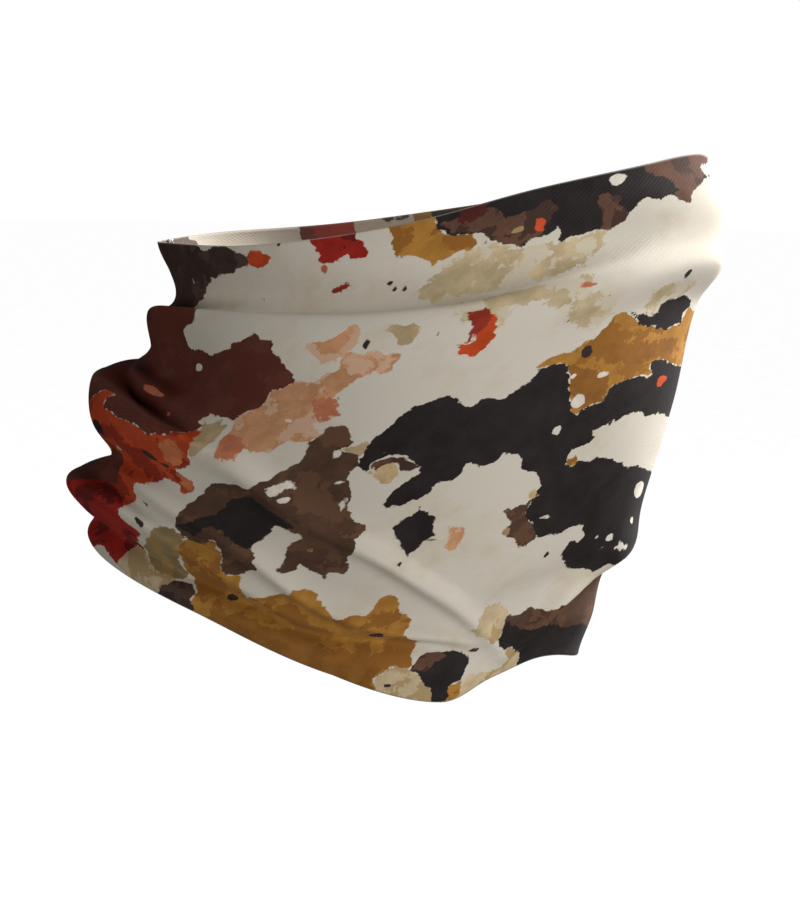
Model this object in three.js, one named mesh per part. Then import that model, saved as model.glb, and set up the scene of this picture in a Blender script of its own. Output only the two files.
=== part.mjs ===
// Camo face mask: a tube of printed stretch knit worn from the nose down round the neck.
//
// Frame: millimetres, +Z up, +X the way the wearer faces, +Y the wearer's left.
// The origin is on the neck's axis, level with the lowest point of the lower edge.
//
// The cloth is drawn as one surface. "angle" goes round the tube in degrees: 0 at the nose,
// 90 at the wearer's right cheek, 180 at the nape and 270 at the left cheek. "down" goes from
// 0 at the rim to 1 at the lower edge. "depth" goes from the outer face inwards, in mm.

import * as THREE from "three";

// ---- Driving sizes, mm ----

const worn = { depth: 250, width: 156, height: 196 };
const clothThickness = 0.8;
const gap = 0.5;

const allowanceThickness = 1.0;
const threadDiameter = 0.3;
const labelThickness = 0.4;

// Widths at the seam are counted in seam columns, each about 3 mm of cloth round the nape.
const seamColumnAngle = 2.6;
const allowanceColumns = 2;
const needleColumns = [0.45, 1.15];
const looperColumns = [0.25, 2.1];
const labelColumns = 6;
const labelStart = 0.2;
const labelRows = [29, 35];

// How much of the cloth's full fold height and roll-over the solids keep, and the least
// width of a fold's flank.
const foldRise = 0.9;
const foldRoll = 0.35;
const leastFoldWidth = 6.5;

// ---- Mesh density ----

const wideColumns = 44;
const columnsBeforeSeam = 7;
const columnsAfterSeam = 3;
const rows = 38;
const threadSides = 5;

// ---- The drape ----
// Stations are [angle or down, mm] pairs, drawn at these sizes and scaled to the worn ones.

const drawn = { depth: 250, width: 156, height: 196 };

const rimHeight = [
  [0, 192], [14, 195], [30, 194.5], [60, 186.5], [90, 173], [120, 165], [150, 163], [180, 161],
  [210, 162], [240, 164], [270, 171], [300, 181], [330, 189], [346, 193],
];
const lowerEdgeHeight = [
  [0, 9], [30, 13], [48, 8], [62, 1], [90, 11], [120, 30], [150, 43], [180, 50],
  [210, 42], [240, 30], [270, 14], [298, 4], [312, 9], [330, 13],
];

// Front line over the nose, lips and chin, and back line down the nape.
const frontX = [
  [0, 120], [0.09, 125], [0.16, 124], [0.21, 125], [0.285, 116], [0.48, 108],
  [0.72, 95], [0.775, 91], [0.83, 83], [0.92, 79], [1, 74],
];
const backX = [
  [0, -85.5], [0.1, -82.5], [0.25, -84], [0.4, -91], [0.55, -100], [0.7, -108], [0.85, -114], [1, -113],
];
const widestX = [[0, 18], [0.3, 14], [0.6, 6], [1, -6]];
const halfWidth = [[0, 70], [0.15, 74], [0.3, 77], [0.5, 74], [0.7, 67], [0.85, 61], [1, 58]];

// How much narrower the tube is at the nose than an ellipse would be, and over what angle.
const nosePinch = [[0, 0.42], [0.21, 0.42], [0.4, 0.25], [0.6, 0.12], [0.8, 0.22], [1, 0.25]];
const nosePinchAngle = 38;

// Each fold is a crest that runs round the tube at a height, the same on both sides.
// Columns: angle, height, rise out of the cloth, roll upwards over it, width above, width below.
const folds = {
  cheekLip: [
    [12, 166, 0, 0, 10, 24], [30, 158, 1.2, 1, 10, 28], [45, 151, 2.5, 3, 9, 30], [60, 146, 4, 4, 7, 30],
    [90, 141, 5, 5, 6, 28], [120, 138, 6, 5, 6, 22], [150, 132, 8, 5, 6, 12], [180, 126, 9, 5, 7, 9],
  ],
  rimHollow: [
    [12, 182, 0, 0, 9, 9], [30, 174, -1, 0, 9, 9], [45, 168, -2, 0, 9, 9], [60, 164, -3.5, 0, 9, 9],
    [90, 156, -4, 0, 9, 9], [120, 152, -4, 0, 9, 9], [150, 147, -3, 0, 9, 9], [180, 144, -2, 0, 9, 9],
  ],
  napeRoll: [
    [100, 87, 0, 0, 7, 12], [115, 90, 3, 2, 7, 12], [130, 94, 7, 5, 7, 12], [150, 98, 12, 8, 7, 12],
    [180, 99, 15, 9, 8, 12],
  ],
  napeHollow: [
    [100, 104, 0, 0, 8, 8], [115, 106, -2, 0, 8, 8], [130, 110, -4, 0, 8, 8], [150, 116, -4, 0, 8, 8],
    [180, 116, -3, 0, 8, 8],
  ],
  jawRidge: [
    [20, 14, 0, 0, 6, 6], [33, 18, 3, 0, 6, 6], [57, 30, 5, 0, 7, 7], [77, 46, 5, 0, 8, 8],
    [100, 64, 4, 0, 8, 8], [124, 86, 3, 0, 8, 8], [140, 92, 0, 0, 8, 8],
  ],
  neckRoll: [
    [40, 16, 0, 0, 5, 7], [55, 17, 3, 1, 5, 7], [73, 17, 4, 2, 5, 7], [91, 22, 5, 3, 5, 7],
    [104, 36, 6, 4, 5, 7], [120, 53, 6, 4, 5, 7], [133, 61, 6, 4, 5, 8], [150, 66, 8, 5, 5, 8],
    [165, 67, 9, 5, 5, 8], [180, 64, 10, 5, 5, 8],
  ],
  lowerBand: [
    [45, 10, 0, 0, 4, 12], [60, 9, 2, 1, 4, 12], [75, 10, 3, 2, 4, 12], [91, 13, 4, 3, 4, 12],
    [110, 23, 4, 3, 4, 12], [137, 36, 4, 3, 4, 12], [165, 44, 3, 3, 4, 12], [180, 47, 3, 3, 4, 12],
  ],
  chinFold: [
    [0, 50, 3, 0, 12, 4], [14, 46, 4, 0, 12, 4], [24, 38, 5, 0, 10, 4], [34, 28, 4, 0, 9, 5],
    [44, 18, 0, 0, 9, 5],
  ],
};

// Smooth curve through stations, read at t. With a period the stations close into a loop.
function smoothAt(stations, t, column = 1, period = 0) {
  const last = stations.length - 1;
  const key = (i) => {
    if (period) {
      const wraps = Math.floor(i / stations.length);
      return stations[i - wraps * stations.length][0] + wraps * period;
    }
    if (i < 0) return 2 * stations[0][0] - stations[1][0];
    if (i > last) return 2 * stations[last][0] - stations[last - 1][0];
    return stations[i][0];
  };
  const value = (i) => {
    const index = period ? (i + stations.length) % stations.length : Math.min(Math.max(i, 0), last);
    return stations[index][column];
  };
  const end = period ? last : last - 1;
  let i = 0;
  while (i < end && t >= key(i + 1)) i += 1;
  const span = key(i + 1) - key(i);
  const s = Math.min(Math.max((t - key(i)) / span, 0), 1);
  const slopeIn = (value(i + 1) - value(i - 1)) / (key(i + 1) - key(i - 1));
  const slopeOut = (value(i + 2) - value(i)) / (key(i + 2) - key(i));
  const rise = s * s * (3 - 2 * s);
  const bendIn = s * (1 - s) * (1 - s) * span * slopeIn;
  const bendOut = s * s * (s - 1) * span * slopeOut;
  return value(i) + rise * (value(i + 1) - value(i)) + bendIn + bendOut;
}

// The tube before its folds.
function smoothTube(angle, down) {
  const turn = ((angle % 360) + 360) % 360;
  const fromNose = Math.min(turn, 360 - turn);
  const cos = Math.cos(THREE.MathUtils.degToRad(turn));
  const sin = Math.sin(THREE.MathUtils.degToRad(turn));
  const middle = smoothAt(widestX, down);
  const reach = cos > 0 ? smoothAt(frontX, down) - middle : middle - smoothAt(backX, down);
  const pinch = smoothAt(nosePinch, down) * Math.exp(-((fromNose / nosePinchAngle) ** 2));
  const rim = smoothAt(rimHeight, turn, 1, 360);
  const lowerEdge = smoothAt(lowerEdgeHeight, turn, 1, 360);
  return new THREE.Vector3(
    middle + reach * cos,
    -smoothAt(halfWidth, down) * sin * (1 - pinch),
    rim + (lowerEdge - rim) * down,
  );
}

// Unit directions of a surface at one place: round the tube, down the cloth, and outwards.
function directionsOf(surface, angle, down) {
  const angleStep = 0.5;
  const downStep = 0.002;
  const top = Math.max(down - downStep, 0);
  const bottom = Math.min(down + downStep, 1);
  const round = surface(angle + angleStep, down).sub(surface(angle - angleStep, down)).normalize();
  const downwards = surface(angle, bottom).sub(surface(angle, top)).normalize();
  const outwards = round.clone().cross(downwards).normalize();
  return { round, downwards, outwards };
}

// Folds get shallower as the tube gets shorter, so that their flanks keep their slope.
const foldShare = worn.height / drawn.height;

// The outer face of the worn cloth, folds and all.
function outerFace(angle, down) {
  const point = smoothTube(angle, down);
  const { downwards, outwards } = directionsOf(smoothTube, angle, down);
  const turn = ((angle % 360) + 360) % 360;
  const fromNose = Math.min(turn, 360 - turn);
  let out = 0;
  let up = 0;
  for (const fold of Object.values(folds)) {
    if (fromNose < fold[0][0] || fromNose > fold.at(-1)[0]) continue;
    const above = point.z - smoothAt(fold, fromNose, 1);
    const rise = smoothAt(fold, fromNose, 2);
    const roll = smoothAt(fold, fromNose, 3);
    const width = Math.max(smoothAt(fold, fromNose, above > 0 ? 4 : 5), leastFoldWidth);
    const rollWidth = Math.max(smoothAt(fold, fromNose, 4), leastFoldWidth);
    out += foldRise * foldShare * rise * Math.exp(-((above / width) ** 2));
    up += foldRoll * foldShare * roll * Math.exp(-((above / rollWidth) ** 2));
  }
  point.addScaledVector(outwards, out).addScaledVector(downwards, -up);
  point.x *= worn.depth / drawn.depth;
  point.y *= worn.width / drawn.width;
  point.z *= worn.height / drawn.height;
  return point;
}

// A point in the cloth or under it, depth mm in from the outer face.
function clothPoint(angle, down, depth) {
  const { outwards } = directionsOf(outerFace, angle, down);
  return outerFace(angle, down).addScaledVector(outwards, -depth);
}

// The angle of a column of the grid. Column 0 is the seam, and columns count up towards the
// wearer's left. They are narrow beside the seam and wide over the rest of the tube.
const seamColumnCount = columnsBeforeSeam + columnsAfterSeam;
const columns = seamColumnCount + wideColumns;
const wideColumnAngle = (360 - seamColumnCount * seamColumnAngle) / wideColumns;

function columnAngle(column) {
  if (column <= columnsAfterSeam) return 180 + column * seamColumnAngle;
  return 180 + columnsAfterSeam * seamColumnAngle + (column - columnsAfterSeam) * wideColumnAngle;
}

// A point on or under the grid's flat facets, at any place across them.
function gridPoint(column, row, depth) {
  const before = Math.floor(column);
  const point = clothPoint(columnAngle(before), row / rows, depth);
  const next = clothPoint(columnAngle(before + 1), row / rows, depth);
  return point.lerp(next, column - before);
}

// ---- Solids ----

function meshOf(name, points, triangles, look) {
  const geometry = new THREE.BufferGeometry();
  geometry.setAttribute("position", new THREE.Float32BufferAttribute(points.flatMap((p) => p.toArray()), 3));
  geometry.setIndex(triangles);
  geometry.computeVertexNormals();
  const material = new THREE.MeshStandardMaterial(look);
  material.name = name;
  const mesh = new THREE.Mesh(geometry, material);
  mesh.name = name;
  return mesh;
}

// A closed sheet between depths near and far. pointAt(i, j, depth) gives its grid, i round or
// across the cloth and j down it. A sheet that closes round has no side edges.
function sheet(name, across, downRows, closesRound, pointAt, near, far, look) {
  const points = [];
  const columnCount = closesRound ? across : across + 1;
  const rowCount = downRows + 1;
  for (const depth of [near, far]) {
    for (let i = 0; i < columnCount; i += 1) {
      for (let j = 0; j < rowCount; j += 1) points.push(pointAt(i, j, depth));
    }
  }
  const layer = columnCount * rowCount;
  const outer = (i, j) => (i % columnCount) * rowCount + j;
  const inner = (i, j) => layer + outer(i, j);
  const triangles = [];
  const quad = (a, b, c, d) => triangles.push(a, b, c, a, c, d);
  for (let i = 0; i < across; i += 1) {
    for (let j = 0; j < downRows; j += 1) {
      quad(outer(i, j), outer(i + 1, j), outer(i + 1, j + 1), outer(i, j + 1));
      quad(inner(i, j), inner(i, j + 1), inner(i + 1, j + 1), inner(i + 1, j));
    }
    quad(outer(i, 0), inner(i, 0), inner(i + 1, 0), outer(i + 1, 0));
    quad(outer(i, downRows), outer(i + 1, downRows), inner(i + 1, downRows), inner(i, downRows));
  }
  if (!closesRound) {
    for (let j = 0; j < downRows; j += 1) {
      quad(outer(0, j), outer(0, j + 1), inner(0, j + 1), inner(0, j));
      quad(outer(across, j), inner(across, j), inner(across, j + 1), outer(across, j + 1));
    }
  }
  return meshOf(name, points, triangles, look);
}

// A sewing thread along the seam, one stitch point per row. columnAt(row) is its place across it.
function thread(name, columnAt, depth, look) {
  const points = [];
  const triangles = [];
  for (let row = 0; row <= rows; row += 1) {
    const centre = gridPoint(columnAt(row), row, depth);
    const { round, outwards } = directionsOf(outerFace, 180, row / rows);
    for (let k = 0; k < threadSides; k += 1) {
      const turn = (2 * Math.PI * k) / threadSides;
      const point = centre.clone();
      point.addScaledVector(outwards, (threadDiameter / 2) * Math.cos(turn));
      point.addScaledVector(round, (threadDiameter / 2) * Math.sin(turn));
      points.push(point);
    }
  }
  const ring = (row, k) => row * threadSides + (k % threadSides);
  for (let k = 0; k < threadSides; k += 1) {
    for (let row = 0; row < rows; row += 1) {
      triangles.push(ring(row, k), ring(row, k + 1), ring(row + 1, k + 1));
      triangles.push(ring(row, k), ring(row + 1, k + 1), ring(row + 1, k));
    }
  }
  for (let k = 1; k < threadSides - 1; k += 1) {
    triangles.push(ring(0, 0), ring(0, k + 1), ring(0, k));
    triangles.push(ring(rows, 0), ring(rows, k), ring(rows, k + 1));
  }
  return meshOf(name, points, triangles, look);
}

// ---- The pieces ----

const look = {
  cloth: { color: 0xd9d2c4, roughness: 0.85, metalness: 0 },
  turnedCloth: { color: 0xc9c0b0, roughness: 0.85, metalness: 0 },
  needleThread: { color: 0x2c2422, roughness: 0.6, metalness: 0 },
  looperThread: { color: 0x3b302c, roughness: 0.65, metalness: 0 },
  satin: { color: 0xf2f0ea, roughness: 0.4, metalness: 0 },
};

// Layers under the cloth at the seam, from the cloth inwards.
const lowerLooperDepth = clothThickness + gap + threadDiameter / 2;
const allowanceDepth = lowerLooperDepth + threadDiameter / 2 + gap;
const needleDepth = allowanceDepth + allowanceThickness + gap + threadDiameter / 2;
const upperLooperDepth = needleDepth + threadDiameter + 2 * gap;

// The printed knit, one panel closed into a tube.
function fabricTube() {
  const pointAt = (i, j, depth) => gridPoint(i - columnsBeforeSeam, j, depth);
  return sheet("fabric_tube", columns, rows, true, pointAt, 0, clothThickness, look.cloth);
}

// The panel's two side edges, sewn together and turned to lie inside the tube.
function seamAllowance() {
  const far = allowanceDepth + allowanceThickness;
  return sheet(
    "seam_allowance", allowanceColumns, rows, false, gridPoint, allowanceDepth, far, look.turnedCloth,
  );
}

// Two straight rows of needle stitches and the two loopers that wrap the raw edges.
function seamThreads() {
  const [inner, outer] = needleColumns;
  const zigzag = (row) => looperColumns[row % 2];
  const zagzig = (row) => looperColumns[(row + 1) % 2];
  return [
    thread("seam_needle_thread_inner", () => inner, needleDepth, look.needleThread),
    thread("seam_needle_thread_outer", () => outer, needleDepth, look.needleThread),
    thread("seam_looper_thread_upper", zigzag, upperLooperDepth, look.looperThread),
    thread("seam_looper_thread_lower", zagzig, lowerLooperDepth, look.looperThread),
  ];
}

// A folded blank label, caught in the seam near the lower edge.
function careLabel() {
  const [firstRow, lastRow] = labelRows;
  const far = clothThickness + gap + labelThickness;
  const pointAt = (i, j, depth) => {
    const column = i === labelColumns ? -labelStart : i - labelColumns;
    return gridPoint(column, firstRow + j, depth);
  };
  return sheet(
    "care_label", labelColumns, lastRow - firstRow, false, pointAt, clothThickness + gap, far, look.satin,
  );
}

const mask = new THREE.Group();
mask.name = "camo_face_mask";
mask.add(fabricTube(), seamAllowance(), ...seamThreads(), careLabel());

export default mask;
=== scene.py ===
"""Camo face mask: a tube of printed stretch knit, worn from the nose down round the neck.

The cloth is one surface. "angle" goes round the tube in degrees, from 0 at the nose by 90 at the
wearer's right cheek to 180 at the nape and 270 at the left cheek. "down" goes from 0 at the rim
to 1 at the lower edge. Shapes are worked out in millimetres, in the frame of the CAD solids.
"""
import math

import bpy
import numpy as np
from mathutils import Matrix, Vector


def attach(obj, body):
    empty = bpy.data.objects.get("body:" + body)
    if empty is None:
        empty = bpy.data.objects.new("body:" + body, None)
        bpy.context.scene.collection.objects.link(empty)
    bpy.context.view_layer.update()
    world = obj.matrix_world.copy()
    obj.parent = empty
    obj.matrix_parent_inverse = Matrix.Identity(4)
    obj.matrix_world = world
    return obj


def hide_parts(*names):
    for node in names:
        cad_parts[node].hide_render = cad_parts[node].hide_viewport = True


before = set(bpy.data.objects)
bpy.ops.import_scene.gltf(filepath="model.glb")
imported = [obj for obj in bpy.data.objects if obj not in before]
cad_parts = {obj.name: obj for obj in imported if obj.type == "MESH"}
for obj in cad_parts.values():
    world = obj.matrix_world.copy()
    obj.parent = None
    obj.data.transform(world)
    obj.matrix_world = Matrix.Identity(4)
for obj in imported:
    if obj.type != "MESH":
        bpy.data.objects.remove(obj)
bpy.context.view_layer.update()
MM = 0.001

# ---- Sizes, mm ----

CLOTH_THICKNESS = 0.7
FLAT_WIDTH = 500
COLUMNS = 360
ROWS = 208

# The seam runs down the nape. Across it, MM_PER_DEGREE mm of cloth lie in a degree.
SEAM_ANGLE = 180
MM_PER_DEGREE = 1.13
STITCHES = 62
SEAM_DENT = 0.5
SEAM_DENT_WIDTH = 1.2
PUCKER_DEPTH = 0.16
PUCKER_WIDTH = 4
ALLOWANCE_WIDTH = 5.9
ALLOWANCE_LEAF = 0.42
LEAF_SHARE = 0.92
UPPER_LEAF_SHORTER_BY = 0.35
THREAD_DIAMETER = 0.28
THREAD_SIDES = 6
STEPS_PER_STITCH = 8
NEEDLE_DIP = 0.14
NEEDLE_ROWS = (1.3, 3.4)
LOOPER_REACH = (0.7, 6.2)
LABEL_DOWN = (0.763, 0.921)
LABEL_REACH = (0.6, 17.6)
LABEL_THICKNESS = 0.16
LABEL_FOLD_RADIUS = 0.34
SEAM_LENGTH = 170
INNER_LAYER_SHIFT = 40

# Depths under the outer face where the seam's layers lie.
LOWER_LOOPER_DEPTH = 0.9
ALLOWANCE_DEPTH = 1.08
NEEDLE_DEPTH = 2.02
UPPER_LOOPER_DEPTH = 2.2
LABEL_DEPTH = 0.95

# ---- The drape: [angle or down, mm] stations ----

RIM_HEIGHT = (
    (0, 193.5), (14, 196), (30, 194.5), (60, 186.5), (90, 173), (120, 165), (150, 163), (180, 161),
    (210, 162), (240, 164), (270, 171), (300, 181), (330, 189), (346, 193),
)
LOWER_EDGE_HEIGHT = (
    (0, 9), (30, 13), (48, 8), (62, 1), (90, 11), (120, 30), (150, 43), (180, 50),
    (210, 42), (240, 30), (270, 14), (298, 4), (312, 9), (330, 13),
)
FRONT_X = (
    (0, 120), (0.09, 125), (0.16, 124), (0.21, 125), (0.285, 116), (0.48, 108),
    (0.72, 95), (0.775, 91), (0.83, 83), (0.92, 79), (1, 74),
)
BACK_X = (
    (0, -85.5), (0.1, -82.5), (0.25, -84), (0.4, -89), (0.55, -100), (0.7, -108), (0.85, -114), (1, -113),
)
WIDEST_X = ((0, 18), (0.3, 14), (0.6, 6), (1, -6))
HALF_WIDTH = ((0, 70), (0.15, 74), (0.3, 77), (0.5, 74), (0.7, 67), (0.85, 61), (1, 58))
NOSE_PINCH = ((0, 0.42), (0.21, 0.42), (0.4, 0.25), (0.6, 0.12), (0.8, 0.22), (1, 0.25))
NOSE_PINCH_ANGLE = 38

# Each fold is a crest that runs round the tube at a height, the same on both sides.
# Columns: angle, height, rise out of the cloth, roll upwards over it, width above, width below.
FOLDS = {
    "cheek_lip": (
        (8, 180, 0, 0, 6, 20), (24, 172, 0.8, 0, 8, 24), (33, 164, 1.6, 0.5, 7, 26),
        (44, 157, 3, 1.5, 5, 28), (57, 151, 4.2, 2.5, 4, 28), (72, 144.5, 5.2, 3, 3.6, 28),
        (87, 140.5, 5.8, 3, 3.4, 28), (101, 138.5, 6, 3, 3.4, 26), (122, 137, 6.5, 3.5, 3.4, 20),
        (140, 136, 7, 4, 3.4, 10), (152, 134, 8, 5, 3.6, 8), (165, 131, 6, 4, 5, 7),
        (180, 129, 5, 2, 6, 7),
    ),
    "rim_hollow": (
        (12, 182, 0, 0, 9, 9), (30, 174, -1.5, 0, 10, 8), (45, 167, -3.5, 0, 11, 8),
        (60, 160, -5, 0, 12, 8), (90, 149, -6, 0, 13, 8), (120, 146, -6, 0, 12, 8),
        (150, 143, -5, 0, 10, 8), (180, 142, -4, 0, 9, 8),
    ),
    "nape_pocket_edge": (
        (128, 104, 0, 0, 4, 4), (140, 107, 3, 0, 4, 5), (155, 110, 6, 2, 4, 5), (168, 112, 5, 1, 5, 6),
        (180, 114, 3, 0, 7, 7),
    ),
    "nape_roll": (
        (108, 90, 0, 0, 4, 9), (122, 91, 1.8, 1.5, 3.4, 9), (130, 92.5, 5, 4, 3.4, 10),
        (138, 94, 8.5, 6, 3.4, 11), (150, 97, 13, 8, 3.8, 12), (165, 99, 15, 7, 6, 12),
        (180, 100, 15, 3, 9, 12),
    ),
    "nape_valley": (
        (128, 122, 0, 0, 14, 18), (136, 118, -1.2, 0, 14, 18), (142, 116, -3.4, 0, 14, 18),
        (149, 116, -0.8, 0, 14, 18), (158, 116, 0, 0, 14, 18),
    ),
    "neck_hollow": (
        (128, 82, 0, 0, 5, 5), (140, 82, -2.5, 0, 5, 5), (155, 83, -5, 0, 5, 5), (180, 82, -6, 0, 5, 5),
    ),
    "jaw_groove": (
        (56, 32, 0, 0, 3, 3), (63, 41, -1, 0, 3, 3), (72, 50, -1.3, 0, 3, 3), (84, 61, -1.2, 0, 3.4, 3.4),
        (95, 69, -0.8, 0, 4, 4), (105, 80, 0, 0, 4, 4),
    ),
    "jaw_ridge": (
        (42, 14, 0, 0, 5, 3), (54, 26, 3, 0.5, 5, 3), (63, 36, 4.2, 1, 5.5, 3), (72, 44.5, 4.6, 1, 6, 3.4),
        (84, 56, 4.8, 1, 6.5, 3.6), (95, 64, 4.6, 1, 7, 4), (105, 74, 4.2, 1, 7, 4.4),
        (116, 85.5, 3.4, 0.5, 7, 4.6), (124, 90, 2.4, 0, 7, 5), (134, 97, 0, 0, 7, 6),
    ),
    "middle_ridge": (
        (46, 17, 0, 0, 3, 2.4), (56, 21, 1.6, 0.5, 3.4, 2.4), (65, 24, 2.6, 1, 4, 2.4),
        (75, 26, 3.4, 1.2, 4.4, 2.6), (84, 29.5, 4, 1.4, 5, 2.8), (91, 33, 4.4, 1.4, 5.5, 3),
        (97, 38.5, 4.6, 1.4, 5.5, 3.4), (101, 44, 4.6, 1.2, 5.5, 4), (108, 53, 4.6, 1, 5.5, 4.6),
        (117, 61.5, 4.8, 1, 5.5, 4.6), (126, 67, 5, 1, 5.5, 4.6), (137, 74, 5.4, 1, 5, 4.6),
        (146, 78, 5, 1, 5, 4.6), (160, 80, 2, 0, 5, 5), (170, 80, 0, 0, 5, 5),
    ),
    "neck_roll": (
        (84, 25, 0, 0, 5, 3), (97, 30, 1.8, 0.8, 5, 3), (106, 38, 2.8, 1.2, 6, 3),
        (116, 47, 3.6, 1.6, 6, 3.4), (124, 53, 4.4, 2, 6, 4), (133, 59, 5.6, 2.6, 6, 5),
        (150, 65, 8.5, 4, 6, 6), (165, 67, 9.5, 3, 7, 7), (180, 66, 10, 2, 7.5, 7.5),
    ),
    "band_groove": (
        (46, 17.5, 0, 0, 2, 2), (58, 20.5, -1.2, 0, 2, 2), (70, 22.5, -1.8, 0, 2, 2),
        (88, 23.7, -2.2, 0, 2, 2.2), (97, 26, -2.6, 0, 2, 2.4), (106, 32, -3, 0, 2.2, 2.4),
        (116, 38.7, -3.2, 0, 2.4, 2.4), (124, 42.5, -3.2, 0, 2.4, 2.4), (130, 46, -3.2, 0, 2.4, 2.4),
        (138, 50, -3.2, 0, 2.4, 2.4), (153, 54, -3.4, 0, 2.4, 2.6), (168, 55, -2.6, 0, 3, 3.4),
        (180, 56, -2, 0, 4, 4),
    ),
    "lower_band": (
        (45, 10, 0, 0, 4, 12), (60, 11, 1.6, 0.6, 5, 12), (75, 13, 2.4, 1, 5, 12), (91, 16, 3, 1.2, 5, 12),
        (110, 27, 3.2, 1.4, 5, 12), (137, 41, 3.2, 1.4, 5, 12), (165, 48, 2.6, 1.4, 5, 12),
        (180, 50, 2.6, 1.4, 5, 12),
    ),
    "chin_fold": (
        (0, 50, 3, 0, 11, 3), (14, 47, 4.2, 0, 11, 3), (24, 39, 5.2, 0.4, 10, 3), (31, 33, 5, 0.5, 8, 3),
        (38, 24.5, 4, 0.3, 6, 3), (48, 15, 0, 0, 5, 4),
    ),
}


def smooth_at(stations, t, column=1, period=0):
    """Smooth curve through stations, read at t. With a period the stations close into a loop."""
    table = np.array(stations, float)
    keys, values = table[:, 0], table[:, column]
    if period:
        keys = np.concatenate([keys - period, keys, keys + period])
        values = np.tile(values, 3)
    keys_out = np.concatenate([[2 * keys[0] - keys[1]], keys, [2 * keys[-1] - keys[-2]]])
    values_out = np.concatenate([values[:1], values, values[-1:]])
    slope = (values_out[2:] - values_out[:-2]) / (keys_out[2:] - keys_out[:-2])
    t = np.clip(t, keys[0], keys[-1])
    i = np.clip(np.searchsorted(keys, t, side="right") - 1, 0, len(keys) - 2)
    span = keys[i + 1] - keys[i]
    s = (t - keys[i]) / span
    rise = s * s * (3 - 2 * s)
    bend_in = s * (1 - s) ** 2 * span * slope[i]
    bend_out = s * s * (s - 1) * span * slope[i + 1]
    return values[i] + rise * (values[i + 1] - values[i]) + bend_in + bend_out


def smooth_tube(angle, down):
    """The tube before its folds."""
    turn = np.mod(angle, 360)
    from_nose = np.minimum(turn, 360 - turn)
    cos, sin = np.cos(np.radians(turn)), np.sin(np.radians(turn))
    middle = smooth_at(WIDEST_X, down)
    reach = np.where(cos > 0, smooth_at(FRONT_X, down) - middle, middle - smooth_at(BACK_X, down))
    pinch = smooth_at(NOSE_PINCH, down) * np.exp(-(from_nose / NOSE_PINCH_ANGLE) ** 2)
    rim = smooth_at(RIM_HEIGHT, turn, period=360)
    lower_edge = smooth_at(LOWER_EDGE_HEIGHT, turn, period=360)
    x = middle + reach * cos
    y = -smooth_at(HALF_WIDTH, down) * sin * (1 - pinch)
    return np.stack([x, y, rim + (lower_edge - rim) * down], axis=-1)


# Half the distances over which the surface's slopes are taken: degrees, and a share of the height.
ANGLE_STEP = 0.5
DOWN_STEP = 0.002


def unit(vectors):
    return vectors / np.maximum(np.linalg.norm(vectors, axis=-1, keepdims=True), 1e-12)


def directions(surface, angle, down):
    """Unit directions at one place: round the tube, down the cloth, and outwards."""
    around = unit(surface(angle + ANGLE_STEP, down) - surface(angle - ANGLE_STEP, down))
    below = surface(angle, np.minimum(down + DOWN_STEP, 1))
    downwards = unit(below - surface(angle, np.maximum(down - DOWN_STEP, 0)))
    return around, downwards, unit(np.cross(around, downwards))


def outer_face(angle, down):
    """The outer face of the worn cloth, folds and all."""
    point = smooth_tube(angle, down)
    _, downwards, outwards = directions(smooth_tube, angle, down)
    turn = np.mod(angle, 360)
    from_nose = np.minimum(turn, 360 - turn)
    out = np.zeros_like(from_nose)
    up = np.zeros_like(from_nose)
    for fold in FOLDS.values():
        here = (from_nose >= fold[0][0]) & (from_nose <= fold[-1][0])
        above = point[..., 2] - smooth_at(fold, from_nose, 1)
        width_above = smooth_at(fold, from_nose, 4)
        width = np.where(above > 0, width_above, smooth_at(fold, from_nose, 5))
        out += here * smooth_at(fold, from_nose, 2) * np.exp(-(above / width) ** 2)
        up += here * smooth_at(fold, from_nose, 3) * np.exp(-(above / width_above) ** 2)
    out += seam_dent(turn, down)
    return point + outwards * out[..., None] - downwards * up[..., None]


def seam_dent(turn, down):
    """The seam draws the cloth in along the nape, and its stitches pucker it."""
    across = (turn - SEAM_ANGLE) * MM_PER_DEGREE
    pucker = PUCKER_DEPTH * np.sin(2 * math.pi * STITCHES * down / 2)
    dent = SEAM_DENT * np.exp(-(across / SEAM_DENT_WIDTH) ** 2)
    return -dent - pucker * np.exp(-(across / PUCKER_WIDTH) ** 2)


def cloth_point(angle, down, depth):
    """A point in the cloth or under it, depth mm in from the outer face."""
    outwards = directions(outer_face, angle, down)[2]
    return outer_face(angle, down) - outwards * np.asarray(depth, float)[..., None]


# ---- The print: outlines in mm of cloth, (from the nose towards the nape, down from the rim) ----

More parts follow.
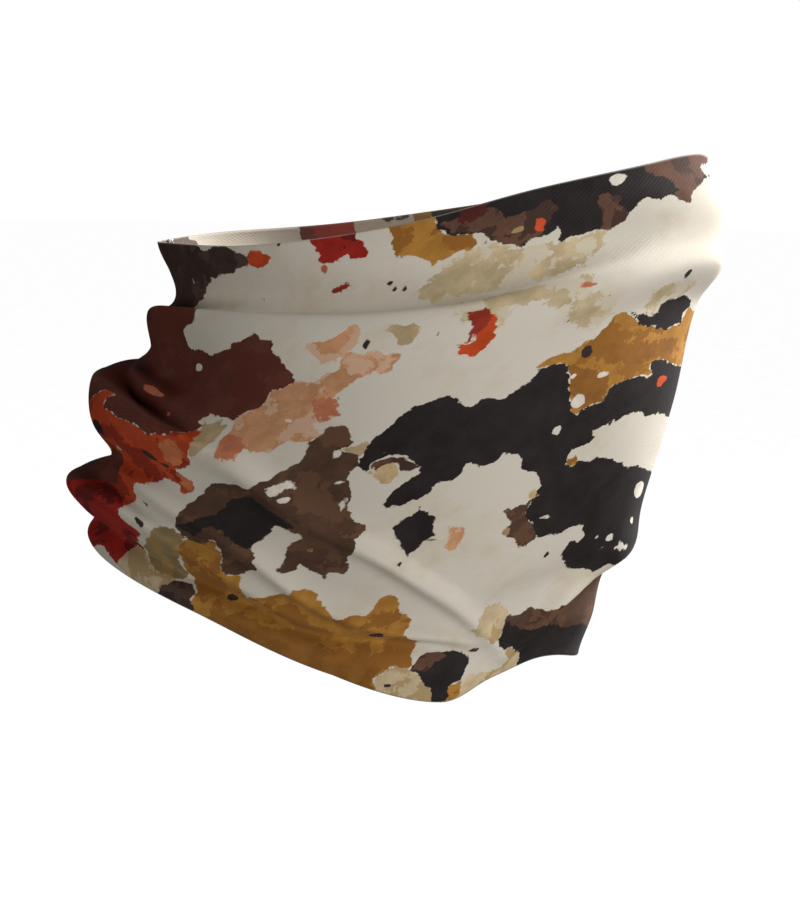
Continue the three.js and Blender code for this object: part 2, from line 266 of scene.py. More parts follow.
# Each ink prints over the ones before it.
PRINT = (
    # The stain ink is a tan stain, and where it lies in the rim hollow and just under the cheek lip it is
    # painted shade as well.
    ("stain_and_shade", (
        ((112, 25), (104, 19), (97, 15), (90, 14), (82, 19), (70, 20), (54, 20), (53, 25), (56, 28),
         (60, 30), (66, 32), (75, 33), (90, 33), (104, 33)),
        ((104, 37), (92, 37), (70, 38), (60, 37), (60, 40), (64, 44), (70, 48), (74, 45), (84, 44),
         (84, 50), (92, 50), (98, 43)),
        ((65, 46), (57, 44), (50, 47), (48, 54), (50, 58), (56, 59), (61, 56), (66, 54)),
        ((34, 47), (25, 45), (14, 46), (12, 50), (18, 54), (25, 55), (27, 58), (32, 57)),
    )),
    ("cream", (
        ((65.5, 163.5), (60.3, 164.2), (58.3, 164.4), (53.3, 168), (53.6, 171), (54.4, 174.5),
         (56.4, 178.7), (59.3, 179.7), (62, 177.5), (67, 175), (70, 172.5), (68, 168), (65.3, 166)),
        ((52, 184), (49.5, 182.5), (46, 185.5), (42, 189), (41, 192), (52, 203), (75, 206), (70, 196),
         (67, 191), (60, 191.8), (51, 191.5), (48, 188.5)),
        ((91, 185.8), (96.3, 183.8), (99.7, 184.5), (100.7, 186.2), (104, 187.5), (103, 190), (100, 202),
         (80, 202), (81, 196), (84.5, 193.6), (86.8, 190.2)),
        ((199, 152), (195, 147), (190, 148), (184, 149), (178, 148), (176, 150), (181.5, 154), (184, 160),
         (205, 165)),
    )),
    ("tan", (
        ((180, 72.5), (177.5, 76.5), (174.5, 75), (173, 73.5), (172, 75.5), (169.3, 75.8), (171, 79.5),
         (172.3, 84), (174.5, 88.5), (177.8, 91.8), (178.4, 89), (179, 85.3), (179.5, 81), (179, 78)),
        ((117.5, 43), (115.3, 42.5), (111.2, 44.3), (109.7, 43.3), (107.7, 45.5), (108, 48.3),
         (109.5, 50.5), (112.6, 50.1), (114.2, 47.3), (116.3, 45.5)),
        ((125.2, 85.6), (127.6, 86), (124.4, 88.2), (122.2, 89.7), (120.6, 89.5), (119, 88.5),
         (117.9, 85.7), (119, 84.4), (120.5, 84.4), (121.9, 85.8)),
    )),
    ("khaki", (
        ((194, 146), (190.5, 140), (186, 131.5), (184.5, 127), (183, 124), (177.5, 124.3), (173.8, 126.8),
         (172, 132), (176, 138), (173, 144), (175.8, 148), (184, 149), (190, 148)),
    )),
    ("salmon", (
        ((146.2, 59), (140, 59.6), (137.2, 58.4), (135.2, 56.9), (133.2, 56.9), (131, 55.7),
         (130.1, 51.8), (132, 51.3), (133.5, 52.8), (136.6, 53), (139, 51.4), (143, 46.8), (143.2, 45.7),
         (137, 45.7), (134.5, 44.3), (131, 43), (128.8, 41), (126.8, 40.9), (125, 43), (125.6, 45.5),
         (126.6, 49), (129.2, 49.9), (125.2, 51.5), (123, 53), (121.2, 51.4), (118.8, 51.1),
         (116.2, 53.4), (114.7, 52.7), (112, 53.8), (112, 55.4), (113.7, 56.8), (113.3, 58.5),
         (114.8, 59.6), (118, 60.1), (119.6, 58.2), (123, 59.5), (125.5, 60.2), (128, 62.3),
         (130.5, 64.6), (132.2, 66.2), (134.9, 68.5), (130.4, 68.6), (130.1, 71.5), (131.5, 74),
         (134.2, 75), (137.5, 74.6), (138.5, 75.8), (136.5, 78.7), (135.2, 80.4), (139.3, 82.7),
         (142.6, 82.7), (146, 81.4), (149, 84.5), (151.3, 86.2), (154.7, 86.6), (158, 85.8), (161.5, 83),
         (161.3, 88), (163.5, 90), (168.5, 89.5), (169.5, 82.5), (167.3, 78.3), (168, 73.5),
         (165.7, 71.5), (161, 69.2), (157.7, 67.7), (156, 64.8), (155.5, 62.3), (152.5, 61.9), (148, 60)),
        ((88.7, 125), (83.2, 126), (82.8, 129), (83.8, 132), (84.8, 134.5), (87, 134.6), (88.8, 133),
         (87.8, 129)),
    )),
    ("deep_salmon", (
        ((139, 65), (130.5, 66), (130, 73), (134, 75), (138.5, 73)),
        ((169.5, 80), (164, 79), (161, 84), (162, 90), (168.5, 89.5)),
    )),
    ("ochre", (
        ((46.5, 54.5), (46, 57.5), (48.5, 59), (50, 62.5), (52.2, 63), (54.5, 64), (57, 65.5), (58.9, 67),
         (63.3, 66.8), (66.6, 68), (68.6, 69), (70, 70.2), (65.5, 70.6), (60.5, 70.6), (57.5, 73),
         (56.5, 75), (56, 79), (55, 84.5), (53, 86), (53.5, 88.7), (52, 91), (50, 90), (48, 88.5),
         (43, 87.3), (40.7, 86.2), (39.5, 83.5), (38.5, 81), (28.3, 80.6), (22, 82), (20.5, 80.7),
         (22.5, 78), (18, 76.6), (9.5, 79.5), (-6, 79), (-6, 60), (7, 58), (10, 64.7), (18, 65.8),
         (27.7, 62.2), (34, 59), (40, 55), (44, 54)),
        ((121.3, 0), (119.6, 2.3), (118.9, 4), (119.3, 7.2), (118.3, 10), (117, 12), (115.4, 10.8),
         (113.5, 11), (111.5, 12.3), (109.3, 14.6), (108.3, 15), (107.3, 17.6), (106, 15.5),
         (103.5, 15.8), (101.3, 15), (98.5, 14), (96, 14.6), (94, 13.3), (95.4, 11), (95.5, 9.2),
         (97.5, 9), (101.4, 7.6), (103.7, 6), (105.5, 4), (106.3, 1.3), (106, -2), (121, -2)),
        ((173.8, 126.8), (171.2, 126.7), (167.2, 127.5), (163.8, 125.3), (161, 123), (160.8, 125.8),
         (162.6, 128.6), (160, 130), (159.8, 133.5), (158.5, 137.3), (156.2, 139), (152.8, 138.8),
         (151.5, 143), (150, 149), (148, 148.3), (144.7, 148), (139.8, 147), (135.4, 145.8), (133.5, 144),
         (131.5, 142.9), (129, 143.3), (127.3, 145.7), (125.8, 148.7), (123.5, 151.8), (121.3, 155.5),
         (118.5, 156.3), (113, 156), (109.9, 157.3), (108, 156), (107.3, 153.5), (107, 151.8),
         (104.8, 150.8), (101.8, 151.7), (100.3, 153.7), (99.3, 157.5), (98, 160.2), (94.5, 162),
         (93.4, 164.5), (94.6, 167), (95.2, 169), (94.2, 170.8), (89.2, 174.5), (90.3, 178.2),
         (91.8, 181.5), (90.3, 183), (91, 185.8), (96.3, 183.8), (99.7, 184.5), (100.7, 186.2),
         (104, 187.5), (103, 190), (102, 200), (180, 200), (170, 160), (168, 152), (173, 145)),
        ((51, 105.8), (50.3, 109.2), (47, 110.8), (44.8, 108.8), (47, 106.7)),
        ((76.5, 196), (74.5, 194.5), (71, 193), (69.3, 192.5), (69.3, 195.5), (68.5, 198), (70, 200),
         (76.5, 201)),
    )),
    ("deep_ochre", (
        ((57, 72), (48, 74), (41, 78), (40, 86), (48, 88), (54, 84)),
        ((46, 66), (36, 67), (24, 69), (10, 70), (10, 75), (22, 76), (34, 74), (44, 73)),
        ((152, 158), (140, 164), (125, 170), (110, 176), (100, 181), (104, 187), (104, 205), (175, 205),
         (172, 165)),
        ((173, 132), (169, 131), (166, 135), (168, 140), (172, 138)),
    )),
    ("orange", (
        ((250, 86), (225, 88), (218, 87.5), (213, 88), (216, 92.5), (215, 95), (210, 95.5), (206, 94.5),
         (200, 92), (194.5, 91), (191.5, 87.5), (188, 86.5), (184, 80.5), (181.8, 79.3), (178.8, 77.3),
         (178.2, 84), (178.4, 89), (178.6, 90.3), (177.2, 93.5), (179, 97.3), (182.6, 98), (183, 99.5),
         (180, 101.3), (175.6, 102.5), (174.2, 104.4), (175, 106.3), (178.6, 107.6), (180.3, 106.5),
         (182, 104.5), (186.7, 104.3), (189.8, 109.2), (193.5, 113.5), (196, 115), (196.2, 120),
         (194.8, 122.3), (196.7, 126.5), (199, 129.5), (204, 133), (250, 133)),
    )),
    ("amber", (
        ((190, 90), (184, 86), (180, 91), (180, 96), (184, 98), (188, 95)),
        ((182, 101), (176, 102.5), (174.4, 104.5), (175, 106.3), (180, 106)),
    )),
    ("red", (
        ((250, 128), (206, 129), (199, 129.5), (200, 132.5), (198, 134), (194.5, 134.5), (192.5, 133.2),
         (190, 134.5), (193, 139), (195, 144), (194, 148), (199, 152), (203, 165), (250, 165)),
        ((148, -2), (148, 0), (146, 3.5), (145, 6), (145.3, 8), (144, 9), (140.6, 9.5), (138, 9.1),
         (137, 8), (135, 7), (134, 7.2), (133.3, 8.7), (130.7, 9.8), (128.5, 8.7), (127.3, 7.6),
         (127.8, 6.2), (129.3, 3.8), (131.3, 1.6), (132.3, -2)),
    )),
    ("hook", (
        ((95, 44.4), (91, 45.3), (90.6, 43.8), (89.4, 44.8), (87.3, 47.2), (86, 54.5), (87.3, 58),
         (88.6, 59.6), (89.2, 61.2), (91.5, 60.4), (94.8, 58.3), (96.8, 54.2), (94.7, 55), (92.4, 55.4),
         (91, 54.3), (90.8, 52.3), (93, 54.3), (92.7, 52.2), (92.5, 50.3), (93.8, 48.4), (94.3, 46.4)),
        ((172.3, 2.8), (167, 2), (163.2, 4.7), (164.3, 6.7), (167.8, 8.2), (173, 7.6), (174, 6)),
    )),
    ("rust", (
        ((141.4, 19), (141, 20.6), (139.7, 20.6), (137.2, 19.6), (135, 19), (133.2, 19.8), (133.3, 18.8),
         (134.6, 18.1), (134.6, 16.7), (135.5, 16), (137, 16.9), (139, 18)),
        ((95, 43), (90, 43), (88.5, 48), (90.5, 52), (93, 54.5), (93.5, 49), (95, 46)),
    )),
    ("maroon", (
        ((250, 24), (205, 24), (201, 28), (193, 29), (193, 31.5), (190.3, 35), (191, 38), (195, 39),
         (196, 41.5), (195, 44), (194, 46.5), (190.7, 48), (187, 46.5), (183.5, 48.3), (180, 49),
         (176, 48), (172.5, 46.5), (171, 44.5), (167.3, 43.7), (164.7, 41.6), (162, 41.3), (160.4, 42.8),
         (156, 44), (155.3, 47.3), (152.8, 49.7), (149.7, 53.8), (147.5, 55.5), (146.2, 59), (148, 60),
         (152.5, 61.9), (155.5, 62.3), (156, 64.8), (157.7, 67.7), (161, 69.2), (165.7, 71.5),
         (168, 73.5), (172, 72.5), (176, 72.5), (177.8, 71.3), (182, 75), (178.8, 77.3), (181.8, 79.3),
         (184, 80.5), (188, 86.5), (191.5, 87.5), (194.5, 91), (200, 92), (206, 94.5), (210, 95.5),
         (215, 95), (216, 92.5), (213, 88), (218, 87.5), (225, 88), (250, 88)),
        ((250, 112), (228, 112), (212, 115), (205, 120), (208, 128), (222, 130), (250, 130)),
    )),
    ("brown", (
        ((170, 101.3), (171.3, 105.3), (173, 108.5), (175.5, 112.2), (176.5, 118.8), (177.7, 123),
         (173.8, 126.8), (169.5, 127.5), (167.2, 127.5), (163.8, 125.3), (161, 123), (160.8, 125.8),
         (160, 130), (159.8, 133.5), (158.5, 137.3), (156.2, 139), (152.8, 138.7), (149.8, 137.3),
         (146.8, 135), (148.3, 129), (150.5, 126.3), (149.2, 124), (147.3, 122.6), (145.8, 120.5),
         (145.5, 118), (143.5, 116.5), (141, 118.7), (138, 120), (134.9, 122.3), (137.6, 123.9),
         (139.7, 126.7), (139.2, 130.3), (139.3, 132.8), (141.3, 135.8), (138.2, 136.3), (135, 135),
         (135.7, 132.9), (134, 133.3), (132.2, 136.2), (129.8, 136.5), (126.2, 139.8), (124.8, 137.5),
         (123, 137.3), (121, 138.8), (119.4, 137.1), (119.5, 133.7), (120.3, 130.8), (117.7, 127),
         (118.2, 125.6), (118, 122), (116.3, 120.4), (115.8, 118.7), (116.7, 116.2), (119.1, 115.5),
         (120.3, 112.8), (122.2, 111), (122.2, 102.8), (124, 97.3), (124, 95.5), (121, 93.3),
         (121.7, 89.4), (126.3, 87.2), (127.6, 86), (125.2, 85.6), (123.9, 85), (125.3, 79.6),
         (127.3, 77.6), (130, 76.8), (132.3, 77.3), (133.3, 78.3), (135.2, 80.4), (139, 83),
         (138.5, 85.5), (140, 90), (146, 94), (151, 98), (155, 101), (160, 100)),
        ((71.3, 123), (69.3, 121.8), (66.5, 122.7), (62.5, 121.9), (60.2, 120), (62, 126), (60, 128.8),
         (57.7, 131), (55.4, 134.3), (54.6, 136.5), (57.2, 138.7), (58.5, 139.7), (60.6, 139.6),
         (63.7, 136), (66.4, 134.7), (68, 133.4), (67.7, 131.3), (68.7, 130), (66, 128.8), (69.3, 125.2)),
        ((53.2, 170), (49.8, 170.3), (46.4, 170.6), (43.2, 168.9), (39.2, 169.8), (36.5, 171),
         (33.3, 170.2), (30.5, 169.5), (27.5, 171), (24, 168.5), (22.5, 166.5), (20.5, 166),
         (17.5, 163.5), (-10, 160), (-10, 215), (40, 215), (42, 189), (46, 185.5), (49.5, 182.5),
         (52.5, 183.6), (55.7, 181), (56.4, 178.9), (55.6, 176.8), (54.4, 174.5), (54.3, 171.8)),
    )),
    ("dark_brown", (
        ((250, -2), (200, -2), (198, 0), (191, 2), (187, 0.5), (183, 0), (180.5, 1.5), (177, 2.2),
         (174.5, 3.2), (172.3, 3.6), (173, 7.6), (178, 7.8), (180.7, 9.9), (185.5, 10.2), (190.4, 12),
         (194, 13), (195, 14.6), (198, 16.6), (201, 19.7), (205, 24), (250, 26)),
        ((182, 154), (176, 148.5), (173, 148.8), (170, 150), (168.5, 152.5), (170, 155), (168, 159),
         (170, 165), (184, 162)),
        ((63, 70.5), (60.5, 70.6), (58, 72), (57, 75), (57.5, 79), (59.5, 81), (61, 79), (63, 76),
         (66, 73.5)),
    )),
    ("black", (
        ((118.2, 85.5), (117.2, 83.5), (113.4, 81.5), (111.6, 79.8), (111.2, 77.9), (107.9, 75.9),
         (104.3, 74.2), (100.2, 73.8), (98, 73.1), (95.7, 73.4), (93.7, 75.1), (91.9, 76.6), (90.1, 78.4),
         (88.2, 79.1), (85.6, 77.8), (83.2, 78.1), (80, 79.3), (77.3, 79.2), (74.5, 76.7), (71.2, 75),
         (69.5, 73.2), (69, 71), (62.3, 70.4), (60.5, 70.6), (57.3, 74), (56, 79), (55, 84.5), (53, 86),
         (53.5, 88.7), (51, 91), (48, 88.5), (43, 87.3), (40.7, 86.2), (39.5, 83.5), (38.5, 81),
         (35.4, 80.7), (28.3, 80.6), (26, 81.5), (22, 82), (20.5, 80.7), (22.5, 78), (21, 76.5),
         (18, 76.6), (13.5, 78), (9.5, 79.5), (-8, 80), (-8, 99), (6.5, 98.5), (11, 97.3), (18, 97.9),
         (22, 95.3), (29.7, 94.5), (31.5, 96), (36.5, 93.7), (33.7, 96.3), (35, 97), (37.5, 95.6),
         (40.5, 96.9), (42.5, 97.5), (42, 99.2), (40.2, 100.2), (42.3, 102.2), (45.9, 103), (48.9, 103.9),
         (50.5, 105.8), (50.3, 109.2), (47, 110.8), (44.6, 108.4), (40.3, 109.3), (36.7, 108),
         (30.7, 110.5), (24.3, 113.8), (21.3, 116.8), (16.5, 117), (12.7, 118.3), (7.5, 119.5), (-8, 121),
         (-12, 160), (15, 156), (19.5, 158.6), (22, 157.4), (25.5, 156.8), (30.5, 155.4), (34.6, 152.5),
         (38.8, 148.6), (40.6, 145.3), (39.4, 143.4), (38.9, 140.6), (36.8, 140.8), (34.5, 142.7),
         (32, 141.4), (31.8, 139.7), (34.4, 138.3), (34, 136.3), (35.2, 134.8), (37.3, 135.3),
         (41.7, 135.5), (41, 137.9), (43.5, 136.7), (47, 137.2), (50.3, 137), (54.9, 136.2), (57.7, 131),
         (60, 128.8), (62, 126), (60.2, 120), (57.9, 115.8), (59, 113.8), (62, 110.6), (65.2, 108.8),
         (68, 107), (68.4, 104.5), (70.9, 101.8), (74.1, 99.8), (76.6, 102), (79, 103.3), (82.4, 104.1),
         (84, 101.8), (86.8, 100.4), (87.3, 103), (88.4, 105), (90.2, 106.3), (94, 105.7), (96.2, 107.3),
         (98.3, 109.8), (100, 111.4), (103.1, 110.8), (105, 112), (109.9, 111.8), (111.4, 110.8),
         (110.2, 107.8), (109.1, 105.6), (106, 104), (102, 101.2), (101, 98.4), (106, 93), (112, 91),
         (116.8, 93), (117.6, 95.8), (119, 97), (120.3, 94), (121.5, 91.3), (119.5, 89.5)),
        ((42.2, 53.6), (35, 55.5), (32, 57), (28.7, 58.4), (24.5, 58), (25.5, 55), (21.5, 54), (14, 53.6),
         (8.5, 55), (7, 58), (10.8, 61.4), (10, 64.7), (14, 64.5), (18, 65.8), (23, 64.5), (27.7, 62.2),
         (31.7, 61), (34, 59), (36, 56.7), (39.7, 54.9)),
        ((106, -2), (106.3, 1.3), (105.5, 4), (103.7, 6), (101.4, 7.6), (97.5, 9), (95, 9.3), (93, 10),
         (90, 13), (87.8, 14.6), (85, 16.6), (82.7, 17.8), (81.5, 19), (79.7, 18.3), (79.2, 16.3),
         (76.6, 17), (73, 17), (71.4, 16), (70.4, 14), (69.5, 16), (68.9, 17.8), (70, 18.6), (69.7, 19.7),
         (67.7, 19.8), (66, 19), (64.3, 19.7), (60.1, 19.6), (56, 19.2), (51.3, 20), (50.7, 18.4),
         (48.2, 18.8), (46.9, 17.4), (46.7, 15.7), (43.8, 14), (41.8, 11.8), (38.4, 11.6), (36.9, 12.9),
         (34.2, 12.6), (30.6, 12.1), (28.4, 13), (27.2, 14.9), (24.9, 16.3), (22.3, 16.2), (20.6, 13),
         (17.4, 11.6), (13.6, 10.2), (10.5, 8.6), (6, 8.3), (11, 7.1), (13.6, 4.9), (10, 3.2), (4, 1.5),
         (4, -2)),
        ((177.5, 121.5), (172.8, 118.3), (165, 113.5), (160, 106), (153, 105), (147, 110), (141, 114),
         (136, 119), (144, 117), (147, 121), (151, 127), (158, 122), (165, 118), (170, 126)),
        ((107, 119.9), (105.1, 118.4), (101.6, 117), (100, 115.9), (98.9, 113.5), (97.2, 115.6),
         (96, 117.5), (94.4, 119.2), (93.7, 121.5), (93.6, 123.9), (92.5, 126.6), (94.7, 128),
         (98, 130.8), (99.8, 133.2), (101.2, 132.8), (102, 129.8), (103.8, 127.3), (105, 124.6),
         (106.3, 122)),
        ((91, 185.8), (89, 185), (88.4, 182.3), (87, 181.3), (80.3, 182), (75.5, 181.5), (71.7, 181.5),
         (69, 184), (68.3, 186.2), (69.7, 188.4), (69.4, 190.7), (70.5, 192.5), (73, 193.3), (74.7, 195),
         (74, 200), (81.2, 202), (80.8, 198), (81.5, 196), (84.5, 193.6), (86.8, 190.2)),
        ((53.2, 172), (48, 176), (42, 177), (38, 176), (32, 180), (24, 183), (14, 186), (-10, 188),
         (-10, 215), (40, 215), (42, 189), (46, 185.5), (49.5, 182.5), (52.5, 183.6), (55.7, 181),
         (56.4, 178.9), (54.4, 174.5)),
        ((230, 98), (222, 98), (216, 103), (215, 107), (221, 106), (228, 104)),
    )),
    ("warm_brown", (
        ((116.8, 93), (114.6, 92.3), (110.8, 92.1), (106.3, 94.4), (103.3, 96.3), (101, 98.4),
         (104.2, 98.6), (107.2, 98.3), (109, 94.6), (114.2, 95.7), (115, 97.2), (117, 94.7)),
        ((93, 2), (90, 1), (87.5, 4), (85.3, 7.3), (79.8, 6.6), (77, 6.4), (74.8, 5), (72.5, 4.7),
         (70.6, 5.6), (69.2, 8.4), (71.5, 9.3), (72.7, 12.3), (75, 15.8), (76.7, 17), (79.2, 16.3),
         (81.5, 19), (85, 16.6), (90, 13), (93, 10), (101, 7), (105, 3)),
        ((55.5, 6.5), (52, 7.3), (48.8, 9.3), (49.7, 12), (48, 13.3), (46.5, 15.7), (46.9, 17.4),
         (48.2, 18.8), (50.7, 18.4), (51.3, 20), (56, 19.2), (55.3, 16.6), (55.8, 12.7), (57, 10.2)),
        ((38, 0), (30, -2), (4, -2), (4, 1.5), (10, 3.2), (13.6, 4.9), (11, 7.1), (13.6, 10.2),
         (20.6, 13), (22.3, 16.2), (24.9, 16.3), (27.2, 14.9), (28.4, 13), (26.5, 10.6), (28, 8.2),
         (30, 6.6), (35, 4.2), (38, 3)),
        ((91, 185.8), (88.4, 182.3), (87, 181.3), (80.3, 182), (77, 184), (82, 185), (85, 189)),
    )),
    ("glow", (
        ((100, -2), (90, -2), (91, 3), (95, 6), (99, 4)),
    )),
    ("beige", (
        ((117.6, 95.8), (115, 97.2), (114.2, 95.7), (110.3, 94.3), (108.9, 94.9), (107.6, 98.2),
         (108.8, 100.2), (109, 102.5), (112.2, 101.6), (113.7, 100.3), (116.3, 98.3)),
        ((59, 115.5), (62.7, 118.4), (60.3, 121.4), (58.5, 120), (60.2, 117.5)),
    )),
    ("white", (
        ((14.5, 149.5), (13, 147), (11, 148.5), (8.5, 147.5), (8, 150), (11, 151)),
        ((149.5, 101), (144, 98), (140.5, 98), (140, 100), (143, 101), (145, 102.5), (148, 103.5)),
    )),
)

# Along the far rim, where the inner face shows, the print is its own.
FAR_RIM_DEPTH = 15
FAR_RIM = (
    ("dark_brown", ((-250, -2), (-232, -2), (-229, 2), (-225, 6), (-236, 12), (-250, 20))),
    ("red", ((-183, -2), (-161, -2), (-162, 9), (-170, 13), (-181, 10))),
    ("dark_brown", ((-152, -2), (-147, -2), (-147, 2), (-151, 1.5))),
    ("dark_brown", ((-146, -2), (-141, -2), (-141, 1.5), (-146, 2))),
    ("ochre", ((-140, -2), (-133, -2), (-132, 8), (-139, 7))),
    ("black", ((-133, -2), (-60, -2), (-66, 12), (-90, 9), (-110, 12), (-132, 8))),
)

# Small marks: layer, centre, half width and half height.
SPOTS = (
    ("white_spot", (
        (48.7, 2.8, 3.2, 1.8), (188.3, 54.3, 2.4, 1.4), (57.3, 95.7, 1.9, 1.7), (53.2, 129.2, 1.9, 1),
        (55.3, 75.8, 1.4, 1.3), (43.2, 77, 2.2, 1.3), (51.3, 85.5, 2.6, 2.6), (8, 127.3, 3.2, 3.2),
        (25, 143.7, 1, 0.8), (18.3, 145, 1.6, 1.3), (20, 148.6, 1.2, 0.5), (7.5, 139.5, 1.2, 1.2),
        (128.4, 88, 1.6, 1.9), (126, 99.5, 1.6, 0.7), (124, 108, 1.2, 2.6), (124.2, 118, 0.8, 0.8),
        (142.3, 104.5, 2, 1.3), (210, 111, 1.3, 1.3), (206, 14.5, 0.7, 1.2), (202.5, 15.5, 0.5, 1),
        (147, 74, 1.2, 0.8),
    )),
    ("tan_spot", (
        (132, 127.3, 1, 1.4), (81.9, 12.4, 1.5, 0.9), (113.6, 89.7, 0.7, 0.7), (68, 132, 1.6, 1.6),
    )),
    ("orange_spot", (
        (75.5, 12.7, 1.4, 2.7), (14.3, 85, 2.8, 1.9),
    )),
    ("salmon_spot", (
        (208, 70, 4.5, 1.2), (196.5, 75.5, 1.3, 1), (61.5, 40.5, 2.6, 1), (143.5, 10.8, 1, 1.5),
    )),
    ("dark_spot", (
        (52.3, 67.5, 2.2, 2.2), (22, 42.5, 1.3, 2.2), (105, 168, 2.8, 2.2), (156.5, 152, 1.7, 1.7),
        (66.5, 181.5, 2.5, 1.2), (65.5, 162, 0.7, 0.7), (56.6, 165.8, 0.6, 0.6), (102.7, 135, 0.9, 0.9),
        (93.5, 128.8, 1.6, 0.4), (170, 19.5, 0.6, 1), (120, 20.3, 1.3, 1), (118.5, 22.5, 0.8, 0.8),
        (115, 22.8, 0.7, 0.7), (92, 13.3, 0.9, 0.6), (122.5, 48.2, 1.3, 1.9), (103.3, 48.8, 0.6, 0.6),
        (90, 37.5, 0.5, 0.5), (54.3, 45.3, 0.6, 0.6), (64, 54, 0.6, 0.6), (159.5, 0, 0.8, 1.2),
        (193, 99, 3.2, 1.4), (187.8, 99.5, 1.8, 1), (147.5, 46.3, 0.6, 0.6), (191, 120.5, 1, 0.9),
        (190, 128, 2, 1.5), (47.8, 144.7, 1.2, 1.2), (98.5, 191, 1.2, 1.2),
    )),
)

# sRGB colours of the dyes; the stain ink is partly painted shade.
INK = {
    "ground": (226, 217, 201),
    "stain_and_shade": (202, 181, 142),
    "cream": (208, 186, 148),
    "tan": (190, 165, 124),
    "khaki": (150, 128, 86),
    "salmon": (208, 150, 106),
    "deep_salmon": (196, 118, 82),
    "ochre": (178, 124, 46),
    "deep_ochre": (146, 94, 28),
    "orange": (190, 66, 12),
    "amber": (202, 116, 68),
    "red": (166, 24, 2),
    "hook": (196, 66, 4),
    "rust": (148, 38, 12),
    "maroon": (96, 41, 25),
    "brown": (82, 54, 36),
    "dark_brown": (62, 42, 33),
    "black": (28, 18, 15),
    "warm_brown": (98, 64, 46),
    "glow": (84, 24, 16),
    "beige": (202, 172, 124),
    "white": (226, 217, 201),
    "white_spot": (226, 217, 201),
    "tan_spot": (170, 138, 92),
    "orange_spot": (212, 78, 32),
    "salmon_spot": (196, 110, 78),
    "dark_spot": (46, 33, 28),
}

# The second tone that is printed in patches over some of the dyes.
SECOND_TONE_SCALE = 0.07
SECOND_TONE = {
    "stain_and_shade": (218, 206, 182),
    "cream": (190, 160, 114),
    "khaki": (176, 140, 84),
    "salmon": (224, 182, 150),
    "ochre": (156, 102, 34),
    "orange": (150, 42, 12),
    "red": (110, 16, 8),
    "brown": (104, 72, 50),
    "dark_brown": (84, 62, 50),
    "warm_brown": (70, 46, 36),
    "maroon": (98, 38, 20),
}


def ripple(u, w, seed, longest, shortest, count=9):
    """A smooth random field of about unit height, from waves of many lengths and directions."""
    rng = np.random.default_rng(seed)
    total = np.zeros_like(u)
    for length in np.geomspace(longest, shortest, count):
        heading, phase = rng.uniform(0, 2 * math.pi, 2)
        wave = 2 * math.pi * (u * math.cos(heading) + w * math.sin(heading)) / length
        total += np.sin(wave + phase)
    return total / math.sqrt(count / 2)


def inside_by(u, w, outline):
    """How far a point is inside an outline, in mm; negative outside."""
    corners = np.array(outline, float)
    best = np.full(u.shape, 1e9)
    inside = np.zeros(u.shape, bool)
    for (u0, w0), (u1, w1) in zip(corners, np.roll(corners, -1, axis=0)):
        du, dw = u1 - u0, w1 - w0
        along = np.clip(((u - u0) * du + (w - w0) * dw) / (du * du + dw * dw), 0, 1)
        best = np.minimum(best, np.hypot(u - u0 - along * du, w - w0 - along * dw))
        if dw:
            crosses = (w0 > w) != (w1 > w)
            inside ^= crosses & (u < u0 + du * (w - w0) / dw)
    return np.where(inside, best, -best)


def inside_oval(u, w, oval):
    """The same for an oval spot."""
    centre_u, centre_w, half_u, half_w = oval
    reach = np.hypot((u - centre_u) / half_u, (w - centre_w) / half_w)
    return (1 - reach) * min(half_u, half_w)


# The print turns half round on the left side of the cloth, as a repeat does.
TURN_U = -24
TURN_W = 196

# How far the outlines waver, how much the far rim's lower limit does, and a depth well outside a shape.
PRINT_WAVER = 0.25
FAR_RIM_WAVER = 2
OUTSIDE = -9


def print_fields(u, w):
    """For each ink, how far each place of the cloth is inside its shapes, in mm."""
    on_left = u < TURN_U / 2
    on_far_rim = on_left & (w < FAR_RIM_DEPTH + FAR_RIM_WAVER * ripple(u, w, 5, 24, 6))
    warped_u = u + PRINT_WAVER * ripple(u, w, 3, 14, 3)
    warped_w = w + PRINT_WAVER * ripple(u, w, 8, 14, 3)
    turned_u = np.where(on_left, TURN_U - warped_u, warped_u)
    turned_w = np.where(on_left, TURN_W - warped_w, warped_w)
    fields = {}
    for ink, outlines in PRINT:
        reach = [inside_by(turned_u, turned_w, outline) for outline in outlines]
        fields[ink] = np.where(on_far_rim, OUTSIDE, np.maximum.reduce(reach))
    for ink, outline in FAR_RIM:
        fields[ink] = np.maximum(fields[ink], inside_by(warped_u, warped_w, outline))
    for ink, ovals in SPOTS:
        reach = [inside_oval(turned_u, turned_w, oval) for oval in ovals]
        fields[ink] = np.where(on_far_rim, OUTSIDE, np.maximum.reduce(reach))
    return fields


# ---- Meshes ----

def make_mesh(name, points_mm, faces, smooth=True):
    mesh = bpy.data.meshes.new(name)
    mesh.from_pydata((np.asarray(points_mm) * MM).tolist(), [], faces)
    mesh.validate()
    if smooth:
        mesh.shade_smooth()
    obj = bpy.data.objects.new(name, mesh)
    bpy.context.scene.collection.objects.link(obj)
    return obj


def cloth_grid():
    """Grid of the cloth: angles and downs, and the cloth's own u and w in mm."""
    angles = 360 * np.arange(COLUMNS + 1) / COLUMNS - 180
    downs = np.arange(ROWS + 1) / ROWS
    angle, down = np.meshgrid(angles, downs, indexing="ij")
    face = outer_face(angle, down)
    step_around = np.linalg.norm(np.diff(face, axis=0), axis=-1).mean(axis=1)
    u = np.concatenate([[0], np.cumsum(step_around)])
    u = (u / u[-1] - 0.5) * FLAT_WIDTH
    step_down = np.linalg.norm(np.diff(face, axis=1), axis=-1)
    w = np.concatenate([np.zeros((COLUMNS + 1, 1)), np.cumsum(step_down, axis=1)], axis=1)
    return angle, down, np.repeat(u[:, None], ROWS + 1, axis=1), w


